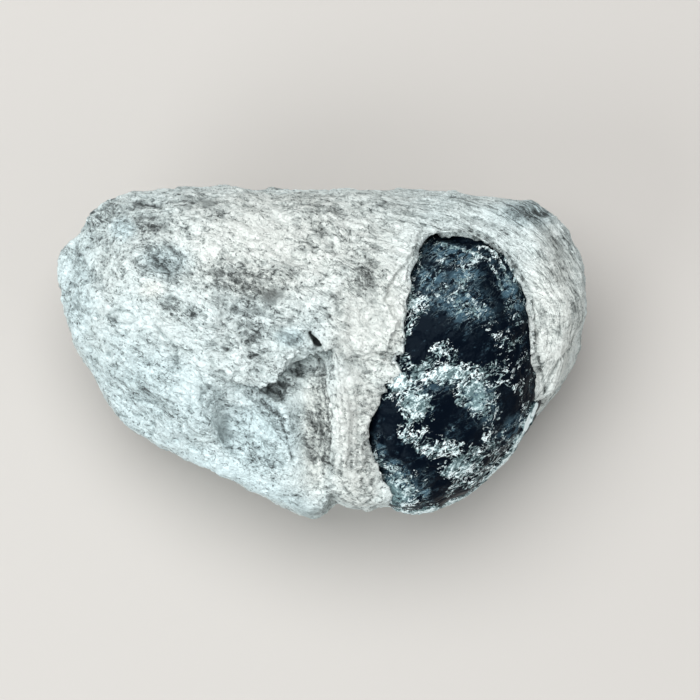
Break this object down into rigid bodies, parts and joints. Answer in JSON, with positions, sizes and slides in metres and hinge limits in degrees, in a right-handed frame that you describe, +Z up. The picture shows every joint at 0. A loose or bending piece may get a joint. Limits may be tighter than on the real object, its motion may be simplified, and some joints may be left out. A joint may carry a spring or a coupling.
{
  "type": "apache tear in matrix",
  "caption": "Rounded obsidian nodule, an apache tear, half bared in a lumpy piece of the pale perlite it formed in, lying on a flat underside.",
  "frame": {"origin": "on the surface that the stone lies on, under the middle of its length and width", "axes": "+Z up; +X along the stone's length, towards the end that holds the nodule; -Y towards the nodule's open side"},
  "size_m": [0.0703, 0.0451, 0.0296],
  "materials": {
    "perlite": "matt, chalky white to grey with pearly and speckled patches",
    "obsidian": "glossy black glass with a matt white crust in patches"
  },
  "bodies": {
    "root": {"perlite_matrix": "perlite", "obsidian_nodule": "obsidian"}
  },
  "joints": []
}
